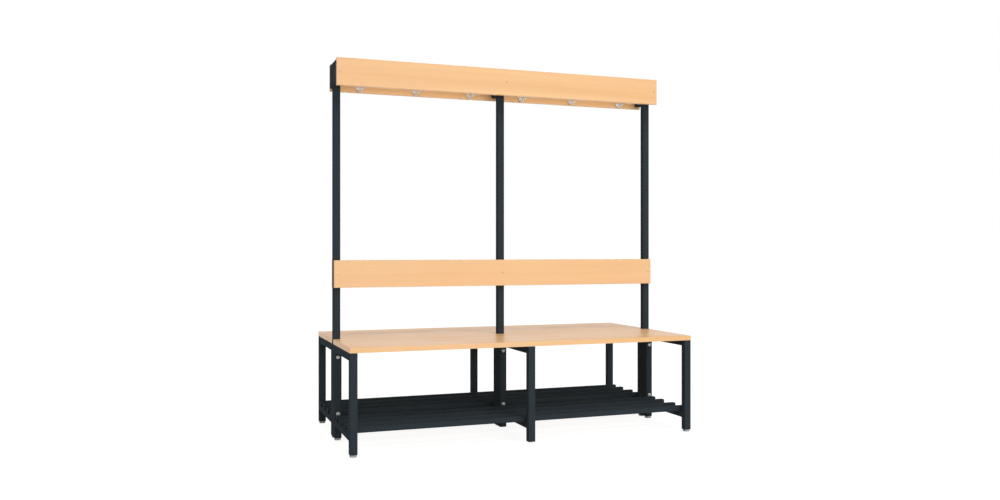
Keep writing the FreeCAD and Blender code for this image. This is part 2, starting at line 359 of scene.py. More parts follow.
class Nodes:
    """A node tree, with short calls that add shader nodes to it."""

    # The places of A and B among a Mix node's inputs, and of the result among its outputs
    MIX_SOCKETS = {"VECTOR": (4, 5, 1), "RGBA": (6, 7, 2)}

    def __init__(self, tree):
        self.tree = tree

    def node(self, kind, inputs=None, **settings):
        made = self.tree.nodes.new("ShaderNode" + kind)
        for key, value in settings.items():
            setattr(made, key, value)
        for key, value in (inputs or {}).items():
            self.put(made.inputs[key], value)
        return made

    def put(self, socket, value):
        """Links a socket to another one, or sets its value."""
        if isinstance(value, bpy.types.NodeSocket):
            self.tree.links.new(value, socket)
        else:
            socket.default_value = value

    def math(self, operation, a, b=None):
        inputs = {0: a} if b is None else {0: a, 1: b}
        return self.node("Math", inputs, operation=operation).outputs[0]

    def mix(self, kind, factor, a, b):
        made = self.node("Mix", {"Factor": factor}, data_type=kind)
        at_a, at_b, at_result = self.MIX_SOCKETS[kind]
        self.put(made.inputs[at_a], a)
        self.put(made.inputs[at_b], b)
        return made.outputs[at_result]


class Look(Nodes):
    """A material with one Principled shader, and short calls for what feeds it."""

    def __init__(self, name):
        self.material = bpy.data.materials.new(name)
        self.material.use_nodes = True
        super().__init__(self.material.node_tree)
        self.shader = self.tree.nodes["Principled BSDF"]

    def place(self, scale, vector=None, offset=(0, 0, 0)):
        """A vector, or else the object coordinates in metres, stretched by scale and then moved."""
        source = vector or self.node("TexCoord").outputs["Object"]
        mapping = self.node("Mapping", {"Vector": source, "Scale": scale, "Location": offset})
        return mapping.outputs["Vector"]

    def noise(self, vector, detail, roughness=0.5, distortion=0.0):
        inputs = {"Vector": vector, "Scale": 1.0, "Detail": detail}
        inputs.update({"Roughness": roughness, "Distortion": distortion})
        return self.node("TexNoise", inputs).outputs["Fac"]

    def cells(self, vector):
        """The distance from a cell's own point, and a value that is each cell's own."""
        made = self.node("TexVoronoi", {"Vector": vector, "Scale": 1.0}, feature="F1")
        own = self.node("SeparateColor", {0: made.outputs["Color"]}).outputs[0]
        return made.outputs["Distance"], own

    def span(self, value, source, target, smooth=False):
        """A value, mapped from the range source to the range target."""
        inputs = {"Value": value, "From Min": source[0], "From Max": source[1]}
        inputs.update({"To Min": target[0], "To Max": target[1]})
        kind = "SMOOTHSTEP" if smooth else "LINEAR"
        return self.node("MapRange", inputs, interpolation_type=kind).outputs["Result"]

    def blend(self, factor, a, b):
        """A colour from a to b."""
        return self.mix("RGBA", factor, a, b)

    def bump(self, height, distance, strength=1.0):
        made = self.node("Bump", {"Height": height, "Distance": distance, "Strength": strength})
        self.tree.links.new(made.outputs["Normal"], self.shader.inputs["Normal"])

    def set(self, **values):
        """Feeds the shader's inputs, named with underscores for spaces."""
        for key, value in values.items():
            self.put(self.shader.inputs[key.replace("_", " ")], value)


def grey(value):
    return (value, value, value, 1.0)


# Beech
BEECH_PALE = (0.915, 0.578, 0.282, 1)
BEECH_DEEP = (0.800, 0.452, 0.192, 1)
BEECH_STRIP = (0.912, 0.583, 0.299, 1)
BEECH_BLUSH = (0.863, 0.500, 0.262, 1)
BEECH_FIBRE = (0.60, 0.29, 0.11, 1)
BEECH_FLECK = (0.52, 0.235, 0.085, 1)
BEECH_JOINT = (0.42, 0.19, 0.07, 1)
# Fineness of each pattern per metre: along the grain, and across it both ways
BAND_FINENESS = (0.8, 30, 30)
STRIP_FINENESS = (0.35, 11, 11)
FIBRE_FINENESS = (9, 620, 620)
BLUSH_FINENESS = (1.1, 7, 7)
BLUSH_OFFSET = (3, 5, 7)
FLECK_FINENESS = (210, 1150, 1150)
SMUDGE_FINENESS = (6, 6, 6)
# A face that looks along X more squarely than this is a board's end.
END_FACING = 0.7
# The edge bands' thickness and the hairline's reach, in metres
EDGE_BAND = 0.002
JOINT_CORE = 0.00012
JOINT_EDGE = 0.00035
FLECK_TINT = 0.22
JOINT_TINT = 0.2
# The relief in metres, and what raises or sinks the surface as a share of it
BEECH_RELIEF = 0.00006
FIBRE_HEIGHT = 0.4
FLECK_HEIGHT = -0.5
JOINT_DEPTH = 2.0
BEECH_GLOSS = 0.32


def beech(name, half_length, middle, half, rise_axis, offset):
    """Beech laminate along X, with a hairline where the edge bands meet the faces.

    The faces reach half_length each way along X, and half each way from middle along rise_axis, in metres.
    """
    look = Look(name)
    spot = look.node("TexCoord").outputs["Object"]
    parts = look.node("SeparateXYZ", {0: spot})
    x, y, z = parts.outputs
    # On the ends the printed grain runs along the edge.
    end_wise = {"y": (y, x, z), "z": (z, y, x)}[rise_axis]
    swapped = look.node("CombineXYZ", dict(enumerate(end_wise))).outputs[0]
    facing = look.node("SeparateXYZ", {0: look.node("NewGeometry").outputs["True Normal"]}).outputs[0]
    on_end = look.math("GREATER_THAN", look.math("ABSOLUTE", facing), END_FACING)
    grain = look.mix("VECTOR", on_end, spot, swapped)

    bands = look.noise(look.place(BAND_FINENESS, grain, offset), detail=4.0, roughness=0.6, distortion=0.35)
    strips = look.noise(look.place(STRIP_FINENESS, grain, offset), detail=1.0)
    fibres = look.noise(look.place(FIBRE_FINENESS, grain, offset), detail=3.0, roughness=0.65)
    blush = look.noise(look.place(BLUSH_FINENESS, grain, BLUSH_OFFSET), detail=2.0)
    distance, chance = look.cells(look.place(FLECK_FINENESS, grain, offset))
    fleck = look.math(
        "MULTIPLY",
        look.span(distance, (0.18, 0.42), (1.0, 0.0), smooth=True),
        look.span(chance, (0.25, 0.55), (0.0, 1.0)),
    )

    colour = look.blend(look.span(bands, (0.32, 0.68), (0.0, 1.0)), BEECH_PALE, BEECH_DEEP)
    colour = look.blend(look.span(strips, (0.4, 0.6), (0.0, 0.55)), colour, BEECH_STRIP)
    colour = look.blend(look.span(blush, (0.42, 0.66), (0.0, 0.45)), colour, BEECH_BLUSH)
    colour = look.blend(look.span(fibres, (0.3, 0.7), (0.10, 0.0)), colour, BEECH_FIBRE)
    colour = look.blend(look.math("MULTIPLY", fleck, FLECK_TINT), colour, BEECH_FLECK)

    # The hairline lies an edge band's thickness in from the edges of each face.
    rise = {"y": y, "z": z}[rise_axis]
    from_end = look.math("SUBTRACT", half_length, look.math("ABSOLUTE", x))
    from_edge = look.math("SUBTRACT", half, look.math("ABSOLUTE", look.math("SUBTRACT", rise, middle)))
    edge = look.math("MINIMUM", from_end, from_edge)
    from_joint = look.math("ABSOLUTE", look.math("SUBTRACT", edge, EDGE_BAND))
    joint = look.span(from_joint, (JOINT_CORE, JOINT_EDGE), (JOINT_TINT, 0.0), smooth=True)
    colour = look.blend(joint, colour, BEECH_JOINT)

    smudge = look.noise(look.place(SMUDGE_FINENESS), detail=3.0)
    roughness = look.span(smudge, (0.3, 0.7), (0.30, 0.40))
    look.set(Base_Color=colour, Roughness=roughness, Specular_IOR_Level=BEECH_GLOSS)
    raised = look.math("MULTIPLY", fibres, FIBRE_HEIGHT)
    height = look.math("ADD", raised, look.math("MULTIPLY", fleck, FLECK_HEIGHT))
    look.bump(look.math("SUBTRACT", height, look.math("MULTIPLY", joint, JOINT_DEPTH)), BEECH_RELIEF)
    return look.material


# Powder coat
COAT_DARK = (0.0270, 0.0365, 0.0440, 1)
COAT_LIGHT = (0.0340, 0.0450, 0.0530, 1)
COAT_SPECK = (0.048, 0.060, 0.069, 1)
COAT_PEEL_FINENESS = (620, 620, 620)
COAT_CLOUD_FINENESS = (9, 9, 9)
COAT_SPECK_FINENESS = (2400, 2400, 2400)
COAT_RELIEF = 0.00012
COAT_GLOSS = 0.008


def powder_coat():
    """Anthracite powder coat with a fine orange-peel surface."""
    look = Look("anthracite_powder_coat")
    peel = look.noise(look.place(COAT_PEEL_FINENESS), detail=2.0, roughness=0.55)
    cloud = look.noise(look.place(COAT_CLOUD_FINENESS), detail=3.0)
    speck = look.noise(look.place(COAT_SPECK_FINENESS), detail=1.0)
    colour = look.blend(cloud, COAT_DARK, COAT_LIGHT)
    colour = look.blend(look.span(speck, (0.58, 0.72), (0.0, 0.5)), colour, COAT_SPECK)
    roughness = look.span(peel, (0.3, 0.7), (0.70, 0.80))
    look.set(Base_Color=colour, Roughness=roughness, Specular_IOR_Level=COAT_GLOSS)
    look.bump(peel, COAT_RELIEF, strength=0.6)
    return look.material


# Zinc
ZINC_CRYSTAL_FINENESS = (420, 420, 420)
ZINC_HAZE_FINENESS = (160, 160, 160)
ZINC_GRAIN_FINENESS = (900, 900, 900)
ZINC_RELIEF = 0.00005


def zinc(name, pale, dark, roughness):
    """Zinc on steel, with a faint crystal pattern."""
    look = Look(name)
    tone = look.cells(look.place(ZINC_CRYSTAL_FINENESS))[1]
    haze = look.noise(look.place(ZINC_HAZE_FINENESS), detail=3.0)
    colour = look.blend(tone, dark, pale)
    colour = look.blend(look.span(haze, (0.45, 0.75), (0.0, 0.4)), colour, dark)
    uneven = look.span(haze, (0.3, 0.7), (roughness - 0.05, roughness + 0.08))
    look.set(Base_Color=colour, Metallic=1.0, Roughness=uneven)
    grain = look.noise(look.place(ZINC_GRAIN_FINENESS), detail=2.0)
    look.bump(grain, ZINC_RELIEF, strength=0.5)
    return look.material


# Plastic
PLASTIC_GRAIN_FINENESS = (1100, 1100, 1100)
PLASTIC_CLOUD_FINENESS = (60, 60, 60)
PLASTIC_RELIEF = 0.0001


def plastic(name, dark, light, roughness, gloss):
    """Moulded plastic with a spark-eroded grain."""
    look = Look(name)
    grain = look.noise(look.place(PLASTIC_GRAIN_FINENESS), detail=3.0, roughness=0.6)
    cloud = look.noise(look.place(PLASTIC_CLOUD_FINENESS), detail=2.0)
    tone = look.math("ADD", look.math("MULTIPLY", grain, 0.5), look.math("MULTIPLY", cloud, 0.5))
    look.set(
        Base_Color=look.blend(tone, dark, light),
        Roughness=look.span(grain, (0.3, 0.7), (roughness - 0.06, roughness + 0.08)),
        Specular_IOR_Level=gloss,
    )
    look.bump(grain, PLASTIC_RELIEF, strength=0.6)
    return look.material


seat_wood = beech(
    "beech_laminate_seat",
    half_length=MM * BENCH_LENGTH / 2,
    middle=0.0,
    half=MM * BENCH_DEPTH / 2,
    rise_axis="y",
    offset=(0.0, 0.0, 0.0),
)
backrest_wood = beech(
    "beech_laminate_backrest",
    half_length=MM * BOARD_LENGTH / 2,
    middle=MM * BACKREST_MIDDLE,
    half=MM * BOARD_WIDTH / 2,
    rise_axis="z",
    offset=(4.0, 1.0, 2.0),
)
hook_board_wood = beech(
    "beech_laminate_hook_board",
    half_length=MM * BOARD_LENGTH / 2,
    middle=MM * HOOK_BOARD_MIDDLE,
    half=MM * BOARD_WIDTH / 2,
    rise_axis="z",
    offset=(9.0, 3.0, 5.0),
)
steel_coat = powder_coat()
bright_zinc = zinc(
    "bright_zinc", pale=(0.730, 0.735, 0.740, 1), dark=(0.610, 0.615, 0.620, 1), roughness=0.33
)
# The hooks' satin steel grey is tinted warm in its base colour: that tint is a painted reflection of the
# beech boards around the hooks.
satin_hook_steel_painted_wood_reflection = zinc(
    "satin_hook_steel_painted_wood_reflection", pale=(0.715, 0.690, 0.655, 1), dark=(0.640, 0.612, 0.575, 1), roughness=0.52
)
satin_zinc = zinc(
    "satin_zinc", pale=(0.440, 0.442, 0.445, 1), dark=(0.360, 0.362, 0.365, 1), roughness=0.46
)
dull_zinc = zinc(
    "dull_zinc", pale=(0.660, 0.500, 0.360, 1), dark=(0.560, 0.420, 0.300, 1), roughness=0.55
)
grey_plastic = plastic(
    "grey_moulded_plastic",
    dark=(0.34, 0.345, 0.35, 1),
    light=(0.45, 0.455, 0.46, 1),
    roughness=0.5,
    gloss=0.4,
)
black_plastic = plastic(
    "black_moulded_plastic",
    dark=(0.0080, 0.0086, 0.0092, 1),
    light=(0.0140, 0.0148, 0.0156, 1),
    roughness=0.55,
    gloss=0.02,
)

# The first start that fits a CAD node's name gives its look. All other nodes are coated steel.
NODE_LOOKS = {
    "seat_": seat_wood,
    "backrest_": backrest_wood,
    "hook_board_": hook_board_wood,
    "frame_bolts": satin_zinc,
    "frame_nuts": satin_zinc,
    "coat_hooks_": satin_hook_steel_painted_wood_reflection,
    "foot_inserts": black_plastic,
    "tube_plugs": black_plastic,
    "rack_bar_end_caps": black_plastic,
    "foot_": grey_plastic,
}
for name, node in nodes.items():
    found = next((look for start, look in NODE_LOOKS.items() if name.startswith(start)), steel_coat)
    node.data.materials.clear()
    node.data.materials.append(found)


# Welded steel

# The toe and root rounds of a rolled angle, in thicknesses of its flanges
ANGLE_TOE = 0.6
ANGLE_ROOT = 1.2
# Welds stop this far short of an edge, of a tube's rounded corner, of an angle's root or of a bar's end.
WELD_END_GAP = 1.0
TUBE_SEAM_END_GAP = 1.5
ROOT_GAP = 3.0
BAR_WELD_END_GAP = 3.0
SEAT_ANGLE_WELD = 2.6
BAR_WELD = 2.4
BAR_WELD_HALF_LENGTH = 9.0


def inward_faces(place):
    """The X directions in which a support's sides look at another support. Seams stay unground there."""
    return {"left": (1,), "middle": (-1, 1), "right": (-1,)}[place]


def angle_section(width, height, thickness):
    """Outline of a rolled angle with soft toes and root.

    Its corner is at the origin, with one flange along the first direction and one down the second.
    """
    toe = ANGLE_TOE * thickness
    root = ANGLE_ROOT * thickness
    outline = [(0.0, 0.0), (0.0, -height)]
    outline += arc((thickness - toe, toe - height), toe, -90, 0)
    outline += arc((thickness + root, -thickness - root), root, 180, 90)
    outline += arc((width - toe, toe - thickness), toe, -90, 0)
    outline += [(width, 0.0)]
    return outline


def seat_angle(shell, place, x, side):
    """The angle under one seat, between the inner and the outer leg, with its welds."""
    face = SEAT_ANGLE_FACES[place]
    thickness = SEAT_ANGLE_THICKNESS
    corner_x = x + face * TUBE / 2
    section = angle_section(TUBE, SEAT_ANGLE_HEIGHT, thickness)
    loops = []
    for y in (INNER_FACE_Y, OUTER_FACE_Y):
        loops.append([(corner_x - face * u, side * y, SEAT_BOTTOM + v) for u, v in section])
    shell.loft(loops)
    under = SEAT_BOTTOM - thickness
    inside = corner_x - face * thickness
    toe = corner_x - face * (TUBE - WELD_END_GAP)
    low = SEAT_BOTTOM - SEAT_ANGLE_HEIGHT + WELD_END_GAP
    for reach, away in ((INNER_FACE_Y, 1), (OUTER_FACE_Y, -1)):
        y = side * reach
        out_y = (0, side * away, 0)
        near_root = (inside - face * ROOT_GAP, y, under)
        fillet_bead(shell, near_root, (toe, y, under), out_y, (0, 0, -1), SEAT_ANGLE_WELD)
        below_root = (inside, y, under - ROOT_GAP)
        fillet_bead(shell, (inside, y, low), below_root, out_y, (-face, 0, 0), SEAT_ANGLE_WELD)
        if face in inward_faces(place):
            top = (corner_x, y, SEAT_BOTTOM - WELD_END_GAP)
            seam_bead(shell, (corner_x, y, low), top, (face, 0, 0))


def rack_rail(shell, place, x, side):
    """The tube under the rack bars, between the inner and the outer leg, with its welds."""
    start_y = INNER_FACE_Y if side > 0 else -OUTER_FACE_Y
    start = (x, start_y, RACK_RAIL_BOTTOM + RACK_RAIL_HEIGHT / 2)
    tube(shell, "y", start, OUTER_FACE_Y - INNER_FACE_Y, RACK_RAIL_HEIGHT, TUBE, TUBE_WALL, TUBE_ROUND)
    half = TUBE / 2 - WELD_END_GAP
    seam_low = RACK_RAIL_BOTTOM + TUBE_SEAM_END_GAP
    seam_high = RACK_RAIL_TOP - TUBE_SEAM_END_GAP
    for reach, away in ((INNER_FACE_Y, 1), (OUTER_FACE_Y, -1)):
        y = side * reach
        out_y = (0, side * away, 0)
        for z, out_z in ((RACK_RAIL_BOTTOM, -1), (RACK_RAIL_TOP, 1)):
            fillet_bead(shell, (x - half, y, z), (x + half, y, z), out_y, (0, 0, out_z))
        for face in inward_faces(place):
            at = x + face * TUBE / 2
            seam_bead(shell, (at, y, seam_low), (at, y, seam_high), (face, 0, 0))


def half_frame(place, x, side):
    """Outer leg, inner leg, seat angle and rack rail of one half of a support, welded."""
    shell = Shell()
    for leg_y in LEGS.values():
        start = (x, side * leg_y, LEG_BOTTOM)
        tube(shell, "z", start, SEAT_BOTTOM - LEG_BOTTOM, TUBE, TUBE, TUBE_WALL, TUBE_ROUND)
    seat_angle(shell, place, x, side)
    rack_rail(shell, place, x, side)
    return shell


def post_and_arm(place, x):
    """A post with the arm across its head, welded."""
    shell = Shell()
    tube(shell, "z", (x, 0, LEG_BOTTOM), ARM_BOTTOM - LEG_BOTTOM, TUBE, TUBE, TUBE_WALL, TUBE_ROUND)
    arm_start = (x, -ARM_LENGTH / 2, ARM_BOTTOM + ARM_HEIGHT / 2)
    tube(shell, "y", arm_start, ARM_LENGTH, ARM_HEIGHT, TUBE, TUBE_WALL, TUBE_ROUND)
    reach = TUBE / 2
    low_x = x - reach + WELD_END_GAP
    high_x = x + reach - WELD_END_GAP
    for side in SIDES.values():
        y = side * reach
        fillet_bead(shell, (low_x, y, ARM_BOTTOM), (high_x, y, ARM_BOTTOM), (0, side, 0), (0, 0, -1))
    for face in inward_faces(place):
        at = x + face * reach
        low_y = -reach + TUBE_SEAM_END_GAP
        high_y = reach - TUBE_SEAM_END_GAP
        seam_bead(shell, (at, low_y, ARM_BOTTOM), (at, high_y, ARM_BOTTOM), (face, 0, 0))
    return shell


def rack_bar(y):
    """A bar of the rack with the welds that hold it to the rails."""
    shell = Shell()
    start = (-BAR_END_X, y, RACK_RAIL_TOP + BAR / 2)
    tube(shell, "x", start, 2 * BAR_END_X, BAR, BAR, BAR_WALL, BAR_ROUND)
    for x in SUPPORTS.values():
        low_x = max(x - BAR_WELD_HALF_LENGTH, -BAR_END_X + BAR_WELD_END_GAP)
        high_x = min(x + BAR_WELD_HALF_LENGTH, BAR_END_X - BAR_WELD_END_GAP)
        for face in (-1, 1):
            at = y + face * BAR / 2
            low = (low_x, at, RACK_RAIL_TOP)
            high = (high_x, at, RACK_RAIL_TOP)
            fillet_bead(shell, low, high, (0, face, 0), (0, 0, 1), BAR_WELD)
    return shell


for place, x in SUPPORTS.items():
    for side_name, side in SIDES.items():
        node = f"frame_{side_name}_{place}"
        piece(f"welded_{node}", half_frame(place, x, side), steel_coat, replaces=[node])

for place, x in SUPPORTS.items():
    replaced = [f"post_{place}", f"head_arm_{place}"]
    piece(f"welded_post_{place}", post_and_arm(place, x), steel_coat, replaces=replaced)

for side_name, side in SIDES.items():
    for number, centre in enumerate(BAR_CENTRES_Y, 1):
        node = f"rack_bar_{side_name}_{number}"
        piece(f"welded_{node}", rack_bar(side * centre), steel_coat, replaces=[node])


# Plastic plugs and levelling feet

PLUG_CLEARANCE = 0.2
PLUG_BODY_ROUND = 1.0
# Levels of a plug's flange: how far its sides stand in, what its corners lose, and the share of its height
PLUG_FLANGE_LEVELS = ((0.0, 0.0, 0.0), (0.0, 0.0, 0.45), (0.45, 0.3, 0.85), (1.5, 0.5, 1.0))
CAP_FLANGE = 1.6
CAP_DEPTH = 11.0
PLUG_FLANGE = 2.0
PLUG_DEPTH = 20.0


def plug(shell, axis, origin, size, corner, flange, depth, wall):
    """A push-in plug about a tube's end: a plain body inside and a softly domed flange outside."""
    body_width = size - 2 * wall - 2 * PLUG_CLEARANCE
    body = rounded_rectangle(body_width, body_width, PLUG_BODY_ROUND)
    loops = [lifted(body, height, axis, origin) for height in (-depth, 0.0)]
    for inset, less_round, share in PLUG_FLANGE_LEVELS:
        width = size - 2 * inset
        outline = rounded_rectangle(width, width, corner - less_round)
        loops.append(lifted(outline, flange * share, axis, origin))
    shell.loft(loops)


caps = Shell()
for side in SIDES.values():
    for centre in BAR_CENTRES_Y:
        for end, axis in ((-1, "-x"), (1, "x")):
            origin = (end * BAR_END_X, side * centre, RACK_RAIL_TOP + BAR / 2)
            plug(caps, axis, origin, BAR, BAR_ROUND, CAP_FLANGE, CAP_DEPTH, BAR_WALL)
piece("moulded_rack_bar_end_caps", caps, black_plastic, replaces=["rack_bar_end_caps"])

plugs = Shell()
for place, x in SUPPORTS.items():
    plugged_y = [0.0]
    if place not in FOOTED_SUPPORTS:
        plugged_y += [side * y for side in SIDES.values() for y in LEGS.values()]
    for y in plugged_y:
        plug(plugs, "-z", (x, y, LEG_BOTTOM), TUBE, TUBE_ROUND, PLUG_FLANGE, PLUG_DEPTH, TUBE_WALL)
piece("moulded_tube_plugs", plugs, black_plastic, replaces=["tube_plugs"])

FOOT_PAD = 26.0
FOOT_ROUND = 7.0
FOOT_CORNER_STEPS = 7
FOOT_SEAT_GAP = 0.2
FOOT_TOP = LEG_BOTTOM - FOOT_SEAT_GAP
# Levels of a pad from the floor up: how far its sides stand in, and the height
FOOT_LEVELS = (
    (3.6, 0.0),
    (1.6, 0.35),
    (0.5, 1.3),
    (0.1, 2.6),
    (0.0, 5.4),
    (0.45, 5.8),
    (0.45, 6.3),
    (0.0, 6.7),
    (0.0, 8.7),
    (0.35, 9.4),
    (1.3, FOOT_TOP),
)
STUD_RADIUS = 4.0
STUD_LENGTH = 34.0
STUD_SINK = 1.0
STUD_SIDES = 24
STUD_TAPER_LENGTH = 2.0
# The share of its size that a stud keeps at its tip, and the share it loses there
STUD_TIP = 0.8
STUD_TIP_LOSS = 0.2
THREAD_PITCH = 1.25
THREAD_DEPTH = 0.65
THREAD_ROWS = 6


def foot_pad(x, y):
    """A moulded pad with a groove round it."""
    shell = Shell()
    loops = []
    for inset, z in FOOT_LEVELS:
        width = FOOT_PAD - 2 * inset
        outline = rounded_rectangle(width, width, FOOT_ROUND - inset, FOOT_CORNER_STEPS)
        loops.append(lifted(outline, z, "z", (x, y, 0)))
    shell.loft(loops)
    return shell


def stud(x, y):
    """A threaded stud, its ridges wound as a screw."""
    shell = Shell()
    loops = []
    for row in range(int(STUD_LENGTH / THREAD_PITCH * THREAD_ROWS) + 1):
        height = row * THREAD_PITCH / THREAD_ROWS
        fade = min(1.0, (STUD_LENGTH - height) / STUD_TAPER_LENGTH)
        loop = []
        for k in range(STUD_SIDES):
            angle = 2 * math.pi * k / STUD_SIDES
            phase = (height / THREAD_PITCH - k / STUD_SIDES) % 1.0
            groove = THREAD_DEPTH * (1.0 - abs(2.0 * phase - 1.0))
            r = (STUD_RADIUS - groove) * (STUD_TIP + STUD_TIP_LOSS * fade)
            loop.append((x + r * math.cos(angle), y + r * math.sin(angle), FOOT_TOP - STUD_SINK + height))
        loops.append(loop)
    shell.loft(loops)
    return shell


for place in FOOTED_SUPPORTS:
    for side_name, side in SIDES.items():
        for leg_name, leg_y in LEGS.items():
            node = f"foot_{side_name}_{place}_{leg_name}"
            x, y = SUPPORTS[place], side * leg_y
            pad = foot_pad(x, y)
            piece(f"moulded_{node}", pad, grey_plastic, body=f"{node}_body", replaces=[node])
            piece(f"stud_{node}", stud(x, y), bright_zinc, body=f"{node}_body")


# Bolts and nuts of the frames

BOLT_HEAD_RADIUS = 8.0
BOLT_HEAD_RIM = 1.2
BOLT_HEAD_HEIGHT = 4.0
BOLT_HEAD_STEPS = 10
BOLT_HEAD_SIDES = 40
BOLT_RADIUS = 3.95
BOLT_SIDES = 24
BOLT_TAIL = 1.5
BOLT_END_BEVEL = 0.6
BOLT_END_RADIUS = 3.3
NUT_HALF = 6.5
NUT_HEIGHT = 6.8
NUT_SIDES = 48
NUT_HOLE = 3.97
NUT_COUNTERSINK = 0.7
# Shares of NUT_HALF: the round end faces, and the radius from which the corners are bevelled
NUT_FACE = 0.97
NUT_BEVEL_START = 0.99
NUT_BEVEL_ANGLE = 30
BOLT_END_Y = INNER_FACE_Y + NUT_HEIGHT + BOLT_TAIL
BOLT_SHANK = (
    (BOLT_RADIUS, -INNER_FACE_Y),
    (BOLT_RADIUS, BOLT_END_Y - BOLT_END_BEVEL),
    (BOLT_END_RADIUS, BOLT_END_Y),
    (0.0, BOLT_END_Y),
)


def frame_nut(shell, origin):
    """A hexagon nut along +y from its origin, with bevelled corners and a countersunk hole."""
    turn = AXES["y"]
    slope = math.tan(math.radians(NUT_BEVEL_ANGLE))
    lower, upper = [], []
    for u, v in ring(NUT_HALF, NUT_SIDES, True):
        over = max(0.0, math.hypot(u, v) - NUT_HALF * NUT_BEVEL_START) * slope
        lower.append(turn @ Vector((u, v, over)) + origin)
        upper.append(turn @ Vector((u, v, NUT_HEIGHT - over)) + origin)
    hole = ring(NUT_HOLE, NUT_SIDES)
    wide_hole = ring(NUT_HOLE + NUT_COUNTERSINK, NUT_SIDES)
    face = ring(NUT_HALF * NUT_FACE, NUT_SIDES)
    loops = [
        lifted(hole, 0.0, "y", origin),
        lifted(face, 0.0, "y", origin),
        lower,
        upper,
        lifted(face, NUT_HEIGHT, "y", origin),
        lifted(wide_hole, NUT_HEIGHT, "y", origin),
        lifted(hole, NUT_HEIGHT - NUT_COUNTERSINK, "y", origin),
        lifted(hole, 0.0, "y", origin),
    ]
    shell.loft(loops, caps=False)


bolts = Shell()
nuts = Shell()
bolt_head = domed(BOLT_HEAD_RADIUS, BOLT_HEAD_RIM, BOLT_HEAD_HEIGHT, BOLT_HEAD_STEPS)
for x in SUPPORTS.values():
    for z in FRAME_BOLT_HEIGHTS:
        turned(bolts, bolt_head, "-y", (x, -INNER_FACE_Y, z), BOLT_HEAD_SIDES)
        turned(bolts, BOLT_SHANK, "y", (x, 0, z), BOLT_SIDES)
        frame_nut(nuts, Vector((x, INNER_FACE_Y, z)))
piece("crowned_frame_bolts", bolts, satin_zinc, replaces=["frame_bolts"])
piece("chamfered_frame_nuts", nuts, satin_zinc, replaces=["frame_nuts"])


# Coat hooks

HOOK_STRIP_WIDTH = 14.0
HOOK_PLATE_HEIGHT = 52.0
HOOK_THICKNESS = 4.0
HOOK_EDGE_ROUND = 1.1
HOOK_LEAST_FLAT = 0.1
HOOK_BEND = 15.0
HOOK_SCREW_HEIGHTS = (25.0, 43.0)
HOOK_SCREW_RADIUS = 3.6
HOOK_SCREW_HEAD = 1.9
PRONG_WIDTH = 10.0
PRONG_LENGTH = 48.0
PRONG_SPLAY = 45.0
PRONG_FORK = 1.0
BEND_CENTRE = HOOK_BEND + HOOK_THICKNESS / 2
# The angle round the bend, in radians, at which the neck ends under the fork
NECK_TURN = 2.05
# The fork: the height below which its points are spread, what it stands out from the neck, and the lengths
# of its inner edge beside the neck and from there to the straight prong
FORK_SPREAD = 9.0
FORK_OVER_NECK = 0.05
FORK_FAN = 3.0
FORK_TO_PRONG = 1.0
FORK_STEPS = 6
PLATE_TOP_STEPS = 8
NECK_STEPS = 24
PRONG_STEPS = 30
TIP_STEPS = 7
FACE_STEPS = 8
SHEET_CORNER_STEPS = 4


def down_sheet(across, run, lift):
    """A point of the bent sheet. run follows it down the board and round the bend, which starts at 0."""
    turn = max(run / HOOK_BEND, 0.0)
    radius = HOOK_BEND + lift
    above = max(-run, 0.0)
    y = BEND_CENTRE - radius * math.cos(turn)
    return Vector((across, y, BEND_CENTRE - radius * math.sin(turn) + above))


def front_of_sheet(x, z, lift):
    """The point in front of the bend that stands at x and z in a view from the front.

    The sheet's inner face starts higher than its outer one, so low points are spread between them.
    """
    radius = HOOK_BEND + lift
    bottom = BEND_CENTRE - radius
    height = bottom + z * (FORK_SPREAD - bottom) / FORK_SPREAD if z < FORK_SPREAD else z
    drop = max(BEND_CENTRE - height, 0.0)
    return Vector((x, BEND_CENTRE + math.sqrt(max(radius**2 - drop**2, 0.0)), height))


def sheet_section(width, thickness=HOOK_THICKNESS):
    """(across, lift) points of the sheet's section, with rounded edges."""
    wide = max(width, 2 * HOOK_EDGE_ROUND + HOOK_LEAST_FLAT)
    return rounded_rectangle(wide, thickness, HOOK_EDGE_ROUND, SHEET_CORNER_STEPS)


def prong_section(width):
    """(share, lift) points of a prong's section, with points along both faces. share is 0 to 1 across it."""
    corners = sheet_section(width)
    wide = max(across for across, lift in corners) * 2
    per_corner = SHEET_CORNER_STEPS + 1
    section = []
    for i, (across, lift) in enumerate(corners):
        section.append((0.5 + across / wide, lift))
        if i in (per_corner - 1, 3 * per_corner - 1):
            following = corners[i + 1][0]
            for k in range(1, FACE_STEPS):
                section.append((0.5 + (across + (following - across) * k / FACE_STEPS) / wide, lift))
    return section


def hook_plate():
    """Loops of the sheet from the plate's round top, down the board and round the bend to the fork."""
    top_run = BEND_CENTRE - HOOK_PLATE_HEIGHT
    half = HOOK_STRIP_WIDTH / 2
    stations = []
    for k in range(PLATE_TOP_STEPS + 1):
        angle = math.radians(90 * k / PLATE_TOP_STEPS)
        stations.append((top_run + half * (1 - math.cos(angle)), HOOK_STRIP_WIDTH * math.sin(angle)))
    neck_end = HOOK_BEND * NECK_TURN
    for k in range(NECK_STEPS + 1):
        stations.append((neck_end * k / NECK_STEPS, HOOK_STRIP_WIDTH))
    # A hair thinner than the prongs, so that no two faces lie in one place at the fork
    thickness = HOOK_THICKNESS - 2 * FORK_OVER_NECK
    loops = []
    for run, width in stations:
        loops.append([down_sheet(across, run, lift) for across, lift in sheet_section(width, thickness)])
    return loops


